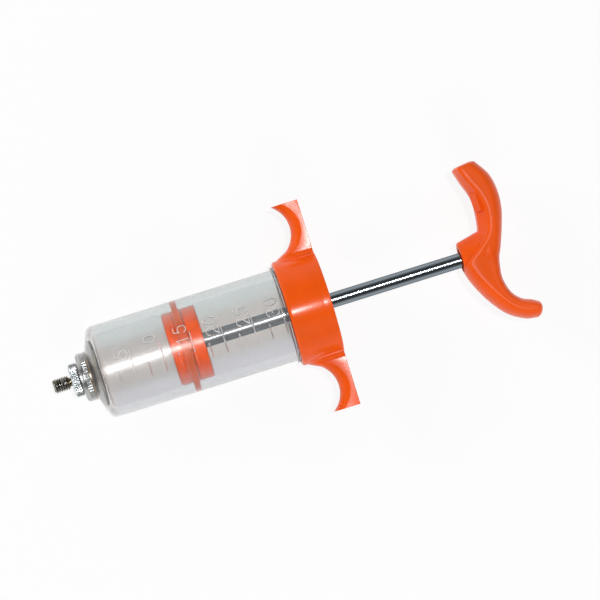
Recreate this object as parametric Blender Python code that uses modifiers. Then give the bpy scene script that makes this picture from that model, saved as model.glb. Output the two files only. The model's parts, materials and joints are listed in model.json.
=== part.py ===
"""Dosing syringe for livestock: a clear barrel with a screw cap, a sealed piston, and a palm handle.

Everything lies along the X axis, nozzle at -X. Sizes are in millimetres, and X is measured from the
floor of the bore until the frame is centred on the whole syringe. The finger wings reach out along Y.
"""

import math

import bmesh
import bpy
from mathutils import Vector

MM = 0.001
TURN = 2 * math.pi

# Dose and bore
BORE_RADIUS = 12.5
DOSE_ML = 30.0
MARK_ML = 2.5
NUMBERED_ML = 5.0
DRAWN_ML = 11.4

# Clearances
SEAT_GAP = 0.1
RUNNING_GAP = 0.15
DISC_GAP = 0.3
STOP_GAP = 0.2
CAP_THREAD_GAP = 0.3
SHANK_THREAD_GAP = 0.2
JOIN_STEP = 0.05

# Barrel
WALL = 3.0
FLOOR = 1.35
OUTLET_RADIUS = 1.2
BORE_FILLET = 0.8
BOSS_RADIUS = 8.15
BOSS_LENGTH = 3.6
BOSS_EDGE = 1.2
SHOULDER_DEPTH = 3.8
SHOULDER_SLANT = 2.7
SHOULDER_ROUND = 2.5
FOOT_ROUND = 0.5
BEAD_HEIGHT = 0.75
BEAD_WIDTH = 0.8
BEAD_ROUND = 0.3
BARREL_THREAD_HEIGHT = 0.7
BARREL_THREAD_PITCH = 2.5
MARK_WIDTH = 0.35
MARK_HEIGHT = 0.25
MARK_START_DEG = 112.0
MARK_END_DEG = 95.0
LONG_MARK_END_DEG = 75.0

# Nose: insert and connector
INSERT_RADIUS = 5.65
INSERT_GROOVE_DEPTH = 0.75
INSERT_GROOVE_WIDTH = 1.4
INSERT_FOOT = 1.4
INSERT_RECESS = 0.3
INSERT_TEETH = 30
SHANK_ROOT_RADIUS = 2.9
SHANK_THREAD_HEIGHT = 0.4
SHANK_THREAD_PITCH = 1.0
SHANK_LENGTH = 3.5
PILOT_RADIUS = 1.75
PILOT_LENGTH = 2.1
COLLAR_RADIUS = 2.15
COLLAR_LENGTH = 0.35
RING_RADIUS = 2.5
RING_WIDTH = 1.0
RING_ROUND = 0.2
HEAD_RADIUS = 5.6
HEAD_LENGTH = 3.0
HEAD_EDGE = 0.35
HEAD_TEETH = 30
KNURL_DEPTH = 0.3
NECK_RADIUS = 1.5
NECK_LENGTH = 0.9
TIP_ROOT_RADIUS = 1.95
TIP_THREAD_HEIGHT = 0.48
TIP_THREAD_PITCH = 0.8
TIP_LENGTH = 5.3
CONNECTOR_BORE = 1.0

# Piston
FRONT_DISC = 3.4
REAR_DISC = 4.5
DISC_ROUND = 0.9
SEAL_WIDTH = 3.1
SEAL_CONTACT = 1.8
SEAL_LIP = 0.6
HUB_RADIUS = 7.8
NOSE_WALL = 1.6
PISTON_INSERT_RADIUS = 3.2
WASHER_RADIUS = 4.7
WASHER_THICKNESS = 0.8

# Rod
ROD_RADIUS = 2.5
ROD_LENGTH = 91.7
ROD_END_RADIUS = 1.9
ROD_CHAMFER = 0.3

# Cap and wings
CAP_COVER = 9.5
CAP_WALL = 1.2
CAP_BACK_WALL = 3.5
CAP_EDGE = 0.8
GUIDE_THICKNESS = 1.2
SADDLE_RADIUS = 9.4
SADDLE_FROM_DEG = -52.0
SADDLE_TO_DEG = 56.0
WING_THICKNESS = 8.5
WING_ROUND = 3.5
WING_FILLET = 3.0

# Handle
RECESS_RADIUS = 3.9
RECESS_DEPTH = 3.1
HANDLE_INSERT_RADIUS = 3.4
HANDLE_INSERT_LENGTH = 6.0
BOSS_FRONT_RADIUS = 5.7
BOSS_BACK_RADIUS = 7.9
BOSS_DEPTH = 9.5
HANDLE_THICKNESS = 16.0
LIP_DEPTH = 2.0
LIP_POWER = 1.7
PLAIN_POWER = 1.0
ARM_BACK_ROUND = 3.5
TAIL_BACK_ROUND = 2.2
ARM_START = -3.0
ARM_BLEND = 12.0
TIP_DEPTH = 1.9
TIP_SHARES = (0.5, 0.8, 0.95)
TOP_DEPTH = 1.3
TOP_SHARES = (0.4, 0.6)

# Smoothness
ROUND_STEPS = 40
SMALL_STEPS = 20
RINGS_PER_PITCH = 6
RUN_OUT_PITCHES = 0.5
ARC_STEPS = 4
MARK_STEPS = 4
SADDLE_STEPS = 8
WING_ROOT_STEPS = 5
HANDLE_STEPS = 2
SHARP_DEG = 35.0

# Worked out from the sizes above
BARREL_RADIUS = BORE_RADIUS + WALL
MM_PER_ML = 1000 / (math.pi * BORE_RADIUS**2)
DOSE_TRAVEL = DOSE_ML * MM_PER_ML
PISTON_X = DRAWN_ML * MM_PER_ML
HUB_END = FRONT_DISC + SEAL_WIDTH
REAR_START = HUB_END + 2 * SEAT_GAP
PISTON_LENGTH = REAR_START + REAR_DISC
BARREL_END = DOSE_TRAVEL + PISTON_LENGTH + STOP_GAP
GUIDE_X = BARREL_END + SEAT_GAP
CAP_INNER = GUIDE_X + GUIDE_THICKNESS + SEAT_GAP
CAP_BACK = CAP_INNER + CAP_BACK_WALL
CAP_FRONT = BARREL_END - CAP_COVER
THREAD_ROOT = BARREL_RADIUS + SEAT_GAP
CAP_RADIUS = THREAD_ROOT + BARREL_THREAD_HEIGHT + CAP_THREAD_GAP + CAP_WALL
BEAD_END = CAP_FRONT - DISC_GAP
POCKET_BOTTOM = -FLOOR
BOSS_FRONT = -SHOULDER_DEPTH - BOSS_LENGTH
INSERT_BACK = POCKET_BOTTOM - SEAT_GAP
INSERT_FRONT = BOSS_FRONT + INSERT_RECESS
HEAD_BACK = BOSS_FRONT - SEAT_GAP
HEAD_FRONT = HEAD_BACK - HEAD_LENGTH
TIP_BACK = HEAD_FRONT - NECK_LENGTH
TIP_END = TIP_BACK - TIP_LENGTH
SHANK_END = HEAD_BACK + SHANK_LENGTH
PILOT_END = SHANK_END + PILOT_LENGTH
RING_X = PILOT_END - COLLAR_LENGTH - SEAT_GAP - RING_WIDTH
WASHER_X = PISTON_X + PISTON_LENGTH - SEAT_GAP - WASHER_THICKNESS
ROD_START = PISTON_X + PISTON_LENGTH
ROD_END = ROD_START + ROD_LENGTH
RECESS_FLOOR = ROD_END + SEAT_GAP
HANDLE_FRONT = RECESS_FLOOR - RECESS_DEPTH
SADDLE_X = CAP_FRONT
SADDLE_Y = CAP_RADIUS + SADDLE_RADIUS

# Chosen by eye along the handle, from its top end to its lower tip: the front and the back edge of
# each section, as X from the boss's front face and Y from the axis
HANDLE_SECTIONS = [
    (6.0, 28.4, 14.0, 29.4),
    (7.3, 24.0, 17.1, 24.4),
    (9.0, 18.6, 18.2, 18.6),
    (9.0, 12.6, 17.8, 12.6),
    (7.4, 5.8, 15.9, 6.2),
    (2.6, 0.9, 13.6, 0.2),
    (-0.4, -3.0, 11.9, -4.6),
    (1.4, -9.2, 11.2, -9.6),
    (4.9, -15.8, 12.5, -14.6),
    (9.4, -21.4, 15.2, -17.7),
    (14.6, -24.6, 18.3, -19.1),
    (17.9, -25.3, 20.0, -20.1),
]

# Colours, as red, green, blue, with roughness and metallic
ORANGE = ((0.84, 0.11, 0.012), 0.25, 0.0)
CLEAR = ((0.80, 0.81, 0.79), 0.10, 0.0)
RUBBER = ((0.52, 0.10, 0.04), 0.45, 0.0)
BLACK_RUBBER = ((0.03, 0.03, 0.03), 0.6, 0.0)
NYLON = ((0.82, 0.80, 0.74), 0.5, 0.0)
STEEL = ((0.62, 0.63, 0.64), 0.15, 1.0)
NICKEL = ((0.60, 0.58, 0.53), 0.22, 1.0)
BRASS = ((0.70, 0.50, 0.22), 0.3, 1.0)


# Building blocks

def collection(name):
    made = bpy.data.collections.new(name)
    bpy.context.scene.collection.children.link(made)
    return made


def material(name, look):
    """A plain material of one colour, roughness and metallic value."""
    colour, roughness, metallic = look
    made = bpy.data.materials.new(name)
    made.use_nodes = True
    shader = made.node_tree.nodes["Principled BSDF"]
    shader.inputs["Base Color"].default_value = (*colour, 1.0)
    shader.inputs["Roughness"].default_value = roughness
    shader.inputs["Metallic"].default_value = metallic
    made.diffuse_color = (*colour, 1.0)
    return made


def new_object(name, mesh):
    made = bpy.data.objects.new(name, mesh)
    PARTS.objects.link(made)
    return made


def bake(shape):
    """Turns the modifiers of a shape into plain mesh, with its faces pointing out."""
    graph = bpy.context.evaluated_depsgraph_get()
    mesh = bpy.data.meshes.new_from_object(shape.evaluated_get(graph))
    shape.modifiers.clear()
    shape.data = mesh
    work = bmesh.new()
    work.from_mesh(mesh)
    bmesh.ops.remove_doubles(work, verts=work.verts, dist=0.001 * MM)
    bmesh.ops.recalc_face_normals(work, faces=work.faces)
    work.to_mesh(mesh)
    work.free()
    mesh.shade_smooth()
    mesh.set_sharp_from_angle(angle=math.radians(SHARP_DEG))


def rounded(corners, segments=2, closed=True):
    """The points of an outline through (x, y, radius) corners, each rounded off by its radius."""
    points = []
    last = len(corners) - 1
    for i, (x, y, radius) in enumerate(corners):
        here = Vector((x, y))
        if radius == 0 or (not closed and i in (0, last)):
            points.append((x, y))
            continue
        back = (Vector(corners[i - 1][:2]) - here).normalized()
        ahead = (Vector(corners[(i + 1) % len(corners)][:2]) - here).normalized()
        half = back.angle(ahead) / 2
        centre = here + (back + ahead).normalized() * radius / math.sin(half)
        start = here + back * radius / math.tan(half) - centre
        end = here + ahead * radius / math.tan(half) - centre
        swing = math.atan2(start.cross(end), start.dot(end))
        for k in range(segments + 1):
            angle = swing * k / segments
            cos, sin = math.cos(angle), math.sin(angle)
            points.append((
                centre.x + start.x * cos - start.y * sin,
                centre.y + start.x * sin + start.y * cos,
            ))
    return points


def turned(name, profile, steps=ROUND_STEPS):
    """Turns (x, radius) points round the X axis. A profile that starts and ends on it makes a bar."""
    solid = profile[0][1] == 0 and profile[-1][1] == 0
    links = [(i, i + 1) for i in range(len(profile) - 1)]
    if not solid:
        links.append((len(profile) - 1, 0))
    mesh = bpy.data.meshes.new(name)
    mesh.from_pydata([(x * MM, 0, radius * MM) for x, radius in profile], links, [])
    shape = new_object(name, mesh)
    turn = shape.modifiers.new("Turn", "SCREW")
    turn.axis = "X"
    turn.steps = steps
    turn.render_steps = steps
    turn.use_merge_vertices = True
    turn.merge_threshold = 0.01 * MM
    bake(shape)
    return shape


def thread_rings(start, end, radius, pitch):
    """Profile points along a thread, close enough together to carry its ridge."""
    count = max(1, round((end - start) / pitch * RINGS_PER_PITCH))
    return [(start + (end - start) * i / count, radius) for i in range(count + 1)]


def wind_thread(shape, start, end, root, height, pitch, runs_out=True):
    """Raises a rounded right-hand thread on the wall of a turned shape, between two places on its axis."""
    for vertex in shape.data.vertices:
        x, y, z = vertex.co / MM
        radius = math.hypot(y, z)
        if not start <= x <= end or abs(radius - root) > height:
            continue
        wave = (1 + math.cos(TURN * x / pitch - math.atan2(z, y))) / 2
        if runs_out:
            wave *= min(1, (x - start) / (RUN_OUT_PITCHES * pitch), (end - x) / (RUN_OUT_PITCHES * pitch))
        grown = (root + height * wave) / radius
        vertex.co.y *= grown
        vertex.co.z *= grown


def knurl(shape, start, end, floor, depth, teeth):
    """Presses every other edge of a turned shape inwards, which leaves straight teeth."""
    for vertex in shape.data.vertices:
        x, y, z = vertex.co / MM
        radius = math.hypot(y, z)
        step = round(math.atan2(z, y) / TURN * teeth * 2)
        if step % 2 and start <= x <= end and radius > floor:
            vertex.co.y *= (radius - depth) / radius
            vertex.co.z *= (radius - depth) / radius


def loft(name, rings):
    """One skin over a row of rings with as many points each, closed by a flat face at both ends."""
    work = bmesh.new()
    rows = [[work.verts.new(point * MM) for point in ring] for ring in rings]
    for row, after in zip(rows, rows[1:]):
        for i in range(len(row)):
            j = (i + 1) % len(row)
            work.faces.new((row[i], row[j], after[j], after[i]))
    work.faces.new(rows[0])
    work.faces.new(rows[-1])
    bmesh.ops.recalc_face_normals(work, faces=work.faces)
    mesh = bpy.data.meshes.new(name)
    work.to_mesh(mesh)
    work.free()
    mesh.shade_smooth()
    mesh.set_sharp_from_angle(angle=math.radians(SHARP_DEG))
    return new_object(name, mesh)


def section(front, back, half_height, front_depth, front_power, back_depth):
    """A ring between two edge points, rounded over its full height at both edges.

    The depth says how far the rounding reaches in from the edge. A power of 1 rounds as an ellipse, and
    a larger one flattens it towards a slant.
    """
    front = Vector((*front, 0))
    back = Vector((*back, 0))
    inward = (back - front).normalized()
    steps = [math.pi / 2 * i / ARC_STEPS for i in range(ARC_STEPS + 1)]
    upper = []
    for a in steps:
        reach = front_depth * (1 - math.cos(a) ** front_power)
        rise = half_height * math.sin(a) ** front_power
        upper.append(front + inward * reach + Vector((0, 0, rise)))
    for a in reversed(steps):
        reach = back_depth * (1 - math.cos(a))
        rise = half_height * math.sin(a)
        upper.append(back - inward * reach + Vector((0, 0, rise)))
    lower = [Vector((point.x, point.y, -point.z)) for point in reversed(upper[1:-1])]
    return upper + lower


def cap_rings(ring, outward, depth, shares):
    """Rings that round off the end of a loft, each further out by its share of the depth and drawn in."""
    centre = sum(ring, Vector()) / len(ring)
    made = []
    for share in shares:
        scale = math.sqrt(1 - share**2)
        made.append([centre + (point - centre) * scale + outward * depth * share for point in ring])
    return made


def between(p, q, r, s, t):
    """A value on the smooth curve through p, q, r and s, a share t of the way from q to r."""
    slope = (r - p) / 2
    bend = p - 2.5 * q + 2 * r - s / 2
    twist = 1.5 * (q - r) + (s - p) / 2
    return q + slope * t + bend * t**2 + twist * t**3


def smooth_path(points, per_span):
    """A smooth row of points through the given ones, with some more between each two."""
    padded = [points[0]] + list(points) + [points[-1]]
    path = []
    for a, b, c, d in zip(padded, padded[1:], padded[2:], padded[3:]):
        for k in range(per_span):
            t = k / per_span
            path.append(tuple(between(p, q, r, s, t) for p, q, r, s in zip(a, b, c, d)))
    path.append(points[-1])
    return path


def blend(low, high, share):
    share = min(1, max(0, share))
    return low + (high - low) * share * share * (3 - 2 * share)


def combine(shape, other, operation):
    """Joins another shape to this one, or cuts it out, and puts the other one with the cutters."""
    step = shape.modifiers.new(operation.title(), "BOOLEAN")
    step.operation = operation
    step.object = other
    PARTS.objects.unlink(other)
    CUTTERS.objects.link(other)
    other.display_type = "WIRE"
    other.hide_render = True


def finish(shape, axis, look):
    """Gives a piece its material and hangs it, with its cutters, from the empty that moves it."""
    shape.data.materials.clear()
    shape.data.materials.append(material(shape.name, look))
    others = [step.object for step in shape.modifiers if step.type == "BOOLEAN"]
    for placed in [shape] + others:
        placed.parent = axis
        placed.location.x = -axis["axis_x"] * MM
    if others:
        shading = shape.modifiers.new("Flat faces", "WEIGHTED_NORMAL")
        shading.keep_sharp = True


def carrier(name, x, parent=None, centre=0):
    """An empty on the axis that a group of pieces hangs from, at a place measured from the bore's floor."""
    made = new_object(name, None)
    made["axis_x"] = x
    made.location.x = (x - (parent["axis_x"] if parent else centre)) * MM
    made.parent = parent
    return made


# Barrel

def mark(x, end_deg):
    """One raised scale line: a thin strip that follows the barrel's wall over part of a turn."""
    low, high = BARREL_RADIUS - MARK_HEIGHT, BARREL_RADIUS + MARK_HEIGHT
    corners = [(x, low), (x + MARK_WIDTH, low), (x + MARK_WIDTH, high), (x, high)]
    rings = []
    for i in range(MARK_STEPS + 1):
        angle = math.radians(MARK_START_DEG + (end_deg - MARK_START_DEG) * i / MARK_STEPS)
        rings.append([Vector((px, r * math.cos(angle), r * math.sin(angle))) for px, r in corners])
    return loft("mark", rings)


def make_barrel():
    pocket = INSERT_RADIUS + SEAT_GAP
    thread_start = BEAD_END + SEAT_GAP
    thread_end = BARREL_END - SEAT_GAP
    bead = BARREL_RADIUS + BEAD_HEIGHT
    outside = rounded([
        (BOSS_FRONT, pocket, 0),
        (BOSS_FRONT, BOSS_RADIUS, BOSS_EDGE),
        (-SHOULDER_DEPTH, BOSS_RADIUS, FOOT_ROUND),
        (-SHOULDER_DEPTH + SHOULDER_SLANT, BARREL_RADIUS, SHOULDER_ROUND),
        (BEAD_END - BEAD_WIDTH, BARREL_RADIUS, 0),
        (BEAD_END - BEAD_WIDTH, bead, BEAD_ROUND),
        (BEAD_END, bead, BEAD_ROUND),
        (BEAD_END, THREAD_ROOT, 0),
    ], closed=False)
    outside += thread_rings(thread_start, thread_end, THREAD_ROOT, BARREL_THREAD_PITCH)
    inside = rounded([
        (BARREL_END, THREAD_ROOT, 0),
        (BARREL_END, BORE_RADIUS, 0),
        (0, BORE_RADIUS, BORE_FILLET),
        (0, OUTLET_RADIUS, 0),
        (POCKET_BOTTOM, OUTLET_RADIUS, 0),
        (POCKET_BOTTOM, pocket, 0),
    ], closed=False)
    barrel = turned("barrel", outside + inside)
    wind_thread(barrel, thread_start, thread_end, THREAD_ROOT, BARREL_THREAD_HEIGHT, BARREL_THREAD_PITCH)
    count = round(DOSE_ML / MARK_ML)
    for i in range(1, count + 1):
        dose = i * MARK_ML
        end_deg = LONG_MARK_END_DEG if dose % NUMBERED_ML == 0 else MARK_END_DEG
        combine(barrel, mark(dose * MM_PER_ML - MARK_WIDTH / 2, end_deg), "UNION")
    return barrel


# Nose

def make_threaded_insert():
    foot_front = INSERT_BACK - INSERT_FOOT
    groove_front = foot_front - INSERT_GROOVE_WIDTH
    groove = INSERT_RADIUS - INSERT_GROOVE_DEPTH
    insert = turned("threaded_insert", [
        (INSERT_FRONT, 0),
        (INSERT_FRONT, INSERT_RADIUS),
        (groove_front, INSERT_RADIUS),
        (groove_front, groove),
        (foot_front, groove),
        (foot_front, INSERT_RADIUS),
        (INSERT_BACK, INSERT_RADIUS),
        (INSERT_BACK, 0),
    ], INSERT_TEETH * 2)
    knurl(insert, INSERT_FRONT, groove_front, groove, KNURL_DEPTH, INSERT_TEETH)
    wide = SHANK_ROOT_RADIUS + SHANK_THREAD_GAP
    thread_front = INSERT_FRONT - DISC_GAP
    thread_back = SHANK_END + DISC_GAP
    bore = turned("insert_bore", [
        (thread_front, 0),
        *thread_rings(thread_front, thread_back, wide, SHANK_THREAD_PITCH),
        (thread_back, RING_RADIUS + SEAT_GAP),
        (INSERT_BACK + DISC_GAP, RING_RADIUS + SEAT_GAP),
        (INSERT_BACK + DISC_GAP, 0),
    ], SMALL_STEPS)
    wind_thread(
        bore, thread_front, thread_back, wide, SHANK_THREAD_HEIGHT, SHANK_THREAD_PITCH, runs_out=False
    )
    combine(insert, bore, "DIFFERENCE")
    return insert


def make_tip_connector():
    """The nipple with its thin neck, and the knurled head round it."""
    shank_start = HEAD_BACK + SEAT_GAP
    stem = turned("tip_connector", [
        (TIP_END, CONNECTOR_BORE),
        *thread_rings(TIP_END, TIP_BACK, TIP_ROOT_RADIUS, TIP_THREAD_PITCH),
        (TIP_BACK, NECK_RADIUS),
        (HEAD_BACK - SEAT_GAP, NECK_RADIUS),
        (HEAD_BACK - SEAT_GAP, SHANK_ROOT_RADIUS),
        *thread_rings(shank_start, SHANK_END, SHANK_ROOT_RADIUS, SHANK_THREAD_PITCH),
        (SHANK_END, PILOT_RADIUS),
        (PILOT_END - COLLAR_LENGTH, PILOT_RADIUS),
        (PILOT_END - COLLAR_LENGTH, COLLAR_RADIUS),
        (PILOT_END, COLLAR_RADIUS),
        (PILOT_END, CONNECTOR_BORE),
    ], SMALL_STEPS)
    wind_thread(stem, TIP_END, TIP_BACK, TIP_ROOT_RADIUS, TIP_THREAD_HEIGHT, TIP_THREAD_PITCH)
    wind_thread(stem, shank_start, SHANK_END, SHANK_ROOT_RADIUS, SHANK_THREAD_HEIGHT, SHANK_THREAD_PITCH)
    inner = (CONNECTOR_BORE + NECK_RADIUS) / 2
    head = turned("connector_head", [
        (HEAD_FRONT, inner),
        (HEAD_FRONT, HEAD_RADIUS - HEAD_EDGE),
        (HEAD_FRONT + HEAD_EDGE, HEAD_RADIUS),
        (HEAD_BACK - HEAD_EDGE, HEAD_RADIUS),
        (HEAD_BACK, HEAD_RADIUS - HEAD_EDGE),
        (HEAD_BACK, inner),
    ], HEAD_TEETH * 2)
    knurl(head, HEAD_FRONT + JOIN_STEP, HEAD_BACK - JOIN_STEP, SHANK_ROOT_RADIUS, KNURL_DEPTH, HEAD_TEETH)
    combine(stem, head, "UNION")
    return stem


def make_connector_seal():
    inner = PILOT_RADIUS + SEAT_GAP
    return turned("connector_seal", rounded([
        (RING_X, inner, RING_ROUND),
        (RING_X, RING_RADIUS, RING_ROUND),
        (RING_X + RING_WIDTH, RING_RADIUS, RING_ROUND),
        (RING_X + RING_WIDTH, inner, RING_ROUND),
    ], 1), SMALL_STEPS)


# Piston

def make_piston_front():
    x = PISTON_X
    edge = BORE_RADIUS - DISC_GAP
    socket = PISTON_INSERT_RADIUS + SEAT_GAP
    return turned("piston_front", rounded([
        (x, 0, 0),
        (x, edge, DISC_ROUND),
        (x + FRONT_DISC, edge, SEAT_GAP),
        (x + FRONT_DISC, HUB_RADIUS, 0),
        (x + HUB_END, HUB_RADIUS, 0),
        (x + HUB_END, socket, 0),
        (x + NOSE_WALL, socket, 0),
        (x + NOSE_WALL, 0, 0),
    ], closed=False))


def make_piston_seal():
    """A ring as wide as the room between the discs, with a narrower band against the bore."""
    front = PISTON_X + FRONT_DISC + SEAT_GAP
    back = PISTON_X + HUB_END
    band = BORE_RADIUS - RUNNING_GAP
    inset = (back - front - SEAL_CONTACT) / 2
    return turned("piston_seal", rounded([
        (front, HUB_RADIUS + SEAT_GAP, 0),
        (front, band - SEAL_LIP, SEAT_GAP),
        (front + inset, band, SEAT_GAP),
        (back - inset, band, SEAT_GAP),
        (back, band - SEAL_LIP, SEAT_GAP),
        (back, HUB_RADIUS + SEAT_GAP, 0),
    ], 1))


def make_piston_rear():
    front = PISTON_X + REAR_START
    back = PISTON_X + PISTON_LENGTH
    hole = ROD_END_RADIUS + SEAT_GAP
    edge = BORE_RADIUS - DISC_GAP
    recess = WASHER_RADIUS + SEAT_GAP
    return turned("piston_rear", rounded([
        (front, hole, 0),
        (front, edge, SEAT_GAP),
        (back, edge, DISC_GAP),
        (back, recess, 0),
        (WASHER_X - SEAT_GAP, recess, 0),
        (WASHER_X - SEAT_GAP, hole, 0),
    ], 1))


def make_bush(name, start, length, radius):
    """A knurled brass bush with a bore for the thin end of the rod."""
    bore = ROD_END_RADIUS + SEAT_GAP
    bush = turned(name, [
        (start, bore),
        (start, radius),
        (start + length, radius),
        (start + length, bore),
    ], SMALL_STEPS * 2)
    knurl(bush, start, start + length, bore + SEAT_GAP, KNURL_DEPTH, SMALL_STEPS)
    return bush


def make_rod_washer():
    hole = ROD_END_RADIUS + SEAT_GAP
    return turned("rod_washer", [
        (WASHER_X, hole),
        (WASHER_X, WASHER_RADIUS),
        (WASHER_X + WASHER_THICKNESS, WASHER_RADIUS),
        (WASHER_X + WASHER_THICKNESS, hole),
    ], SMALL_STEPS)


# Rod

def make_rod():
    front_tip = PISTON_X + NOSE_WALL + 2 * DISC_GAP
    back_tip = RECESS_FLOOR + HANDLE_INSERT_LENGTH - DISC_GAP
    end = ROD_END_RADIUS
    return turned("rod", [
        (front_tip, 0),
        (front_tip, end - ROD_CHAMFER),
        (front_tip + ROD_CHAMFER, end),
        (ROD_START, end),
        (ROD_START, ROD_RADIUS),
        (ROD_END, ROD_RADIUS),
        (ROD_END, end),
        (back_tip - ROD_CHAMFER, end),
        (back_tip, end - ROD_CHAMFER),
        (back_tip, 0),
    ], SMALL_STEPS)


# Cap

def wing_front(y):
    """Where the wing's front edge lies along X: the saddle's arc, then a slope down to the cap's rim."""
    arc_end = SADDLE_Y + SADDLE_RADIUS * math.sin(math.radians(SADDLE_FROM_DEG))
    if y >= arc_end:
        return SADDLE_X + math.sqrt(SADDLE_RADIUS**2 - (y - SADDLE_Y) ** 2)
    arc_x = SADDLE_X + SADDLE_RADIUS * math.cos(math.radians(SADDLE_FROM_DEG))
    rim_y = CAP_RADIUS - CAP_EDGE
    share = max(0, (y - rim_y) / (arc_end - rim_y))
    return CAP_FRONT + DISC_GAP + (arc_x - CAP_FRONT - DISC_GAP) * share


def make_wing(side):
    """One finger wing, as sections across it from inside the cap's wall out to the tip."""
    swing = SADDLE_TO_DEG - SADDLE_FROM_DEG
    arc = [
        SADDLE_Y + SADDLE_RADIUS * math.sin(math.radians(SADDLE_FROM_DEG + swing * i / SADDLE_STEPS))
        for i in range(SADDLE_STEPS + 1)
    ]
    root = CAP_RADIUS - CAP_WALL - WING_FILLET / 2
    near = [root + (arc[0] - root) * i / WING_ROOT_STEPS for i in range(WING_ROOT_STEPS)]
    rings = []
    for y in near + arc:
        flare = min(1, max(0, (CAP_RADIUS + WING_FILLET / 2 - y) / WING_FILLET))
        half = WING_THICKNESS / 2 + WING_FILLET * (1 - math.sqrt(1 - flare**2))
        back = CAP_BACK - JOIN_STEP
        rings.append(section((wing_front(y), side * y), (back, side * y), half, WING_ROUND, 1, DISC_GAP))
    return loft("wing", rings)


def make_cap():
    cap = turned("cap", rounded([
        (CAP_FRONT, 0, 0),
        (CAP_FRONT, CAP_RADIUS, CAP_EDGE),
        (CAP_BACK, CAP_RADIUS, DISC_GAP),
        (CAP_BACK, 0, 0),
    ], closed=False))
    for side in (1, -1):
        combine(cap, make_wing(side), "UNION")
    wide = THREAD_ROOT + CAP_THREAD_GAP
    mouth = CAP_FRONT - DISC_GAP
    relief = BARREL_END - SEAT_GAP
    bore = turned("cap_bore", [
        (mouth, 0),
        *thread_rings(mouth, relief, wide, BARREL_THREAD_PITCH),
        (CAP_INNER, wide),
        (CAP_INNER, ROD_RADIUS + DISC_GAP),
        (CAP_BACK + DISC_GAP, ROD_RADIUS + DISC_GAP),
        (CAP_BACK + DISC_GAP, 0),
    ])
    wind_thread(bore, mouth, relief, wide, BARREL_THREAD_HEIGHT, BARREL_THREAD_PITCH, runs_out=False)
    combine(cap, bore, "DIFFERENCE")
    return cap


def make_rod_guide():
    edge = BARREL_RADIUS - SEAT_GAP
    hole = ROD_RADIUS + RUNNING_GAP
    return turned("rod_guide", [
        (GUIDE_X, hole),
        (GUIDE_X, edge),
        (GUIDE_X + GUIDE_THICKNESS, edge),
        (GUIDE_X + GUIDE_THICKNESS, hole),
    ])


# Handle

def make_handle():
    """An S-shaped slab that swells from edge to edge, with a tapered boss for the rod."""
    rings = []
    for front_x, front_y, back_x, back_y in smooth_path(HANDLE_SECTIONS, HANDLE_STEPS):
        front = (HANDLE_FRONT + front_x, front_y)
        back = (HANDLE_FRONT + back_x, back_y)
        share = (front_y - ARM_START) / ARM_BLEND
        power = blend(PLAIN_POWER, LIP_POWER, share)
        back_round = blend(TAIL_BACK_ROUND, ARM_BACK_ROUND, share)
        rings.append(section(front, back, HANDLE_THICKNESS / 2, LIP_DEPTH, power, back_round))
    outward = []
    for ring, inner in ((rings[0], rings[1]), (rings[-1], rings[-2])):
        edge = ring[0] - ring[len(ring) // 2]
        square = Vector((-edge.y, edge.x, 0)).normalized()
        away = sum(ring, Vector()) - sum(inner, Vector())
        outward.append(square if square.dot(away) > 0 else -square)
    top = cap_rings(rings[0], outward[0], TOP_DEPTH, TOP_SHARES)
    tip = cap_rings(rings[-1], outward[1], TIP_DEPTH, TIP_SHARES)
    handle = loft("handle", top[::-1] + rings + tip)
    boss = turned("handle_boss", rounded([
        (HANDLE_FRONT, 0, 0),
        (HANDLE_FRONT, BOSS_FRONT_RADIUS, CAP_EDGE),
        (HANDLE_FRONT + BOSS_DEPTH, BOSS_BACK_RADIUS, 0),
        (HANDLE_FRONT + BOSS_DEPTH, 0, 0),
    ], closed=False))
    combine(handle, boss, "UNION")
    hole = HANDLE_INSERT_RADIUS + SEAT_GAP
    hole_end = RECESS_FLOOR + HANDLE_INSERT_LENGTH + 2 * SEAT_GAP
    recess = turned("rod_recess", [
        (HANDLE_FRONT - BOSS_DEPTH, 0),
        (HANDLE_FRONT - BOSS_DEPTH, RECESS_RADIUS),
        (RECESS_FLOOR, RECESS_RADIUS),
        (RECESS_FLOOR, hole),
        (hole_end, hole),
        (hole_end, 0),
    ])
    combine(handle, recess, "DIFFERENCE")
    return handle


# The whole syringe, and what moves in it

for stale in list(bpy.data.objects):
    bpy.data.objects.remove(stale)
PARTS = collection("dosing_syringe")
CUTTERS = collection("cutters")

handle = make_handle()
handle_end = max(vertex.co.x for vertex in handle.data.vertices) / MM

body = carrier("syringe_axis", 0, centre=(TIP_END + handle_end) / 2)
finish(make_barrel(), body, CLEAR)
finish(make_threaded_insert(), body, NICKEL)

connector = carrier("connector_axis", HEAD_FRONT, body)
finish(make_connector_seal(), connector, BLACK_RUBBER)
finish(make_tip_connector(), connector, NICKEL)

cap_axis = carrier("cap_axis", CAP_FRONT, body)
finish(make_rod_guide(), cap_axis, NYLON)
finish(make_cap(), cap_axis, ORANGE)

piston_bush_length = HUB_END - NOSE_WALL - 2 * SEAT_GAP
plunger = carrier("plunger_axis", PISTON_X, body)
finish(make_piston_seal(), plunger, RUBBER)
finish(make_piston_front(), plunger, ORANGE)
finish(make_piston_rear(), plunger, ORANGE)
finish(
    make_bush("piston_insert", PISTON_X + NOSE_WALL + SEAT_GAP, piston_bush_length, PISTON_INSERT_RADIUS),
    plunger, BRASS,
)
finish(make_rod_washer(), plunger, STEEL)
finish(make_rod(), plunger, STEEL)
finish(handle, plunger, ORANGE)
finish(
    make_bush("handle_insert", RECESS_FLOOR + SEAT_GAP, HANDLE_INSERT_LENGTH, HANDLE_INSERT_RADIUS),
    plunger, BRASS,
)
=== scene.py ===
"""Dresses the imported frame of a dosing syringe: finished pieces, materials, a pale floor and soft light."""

import json
import math

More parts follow.
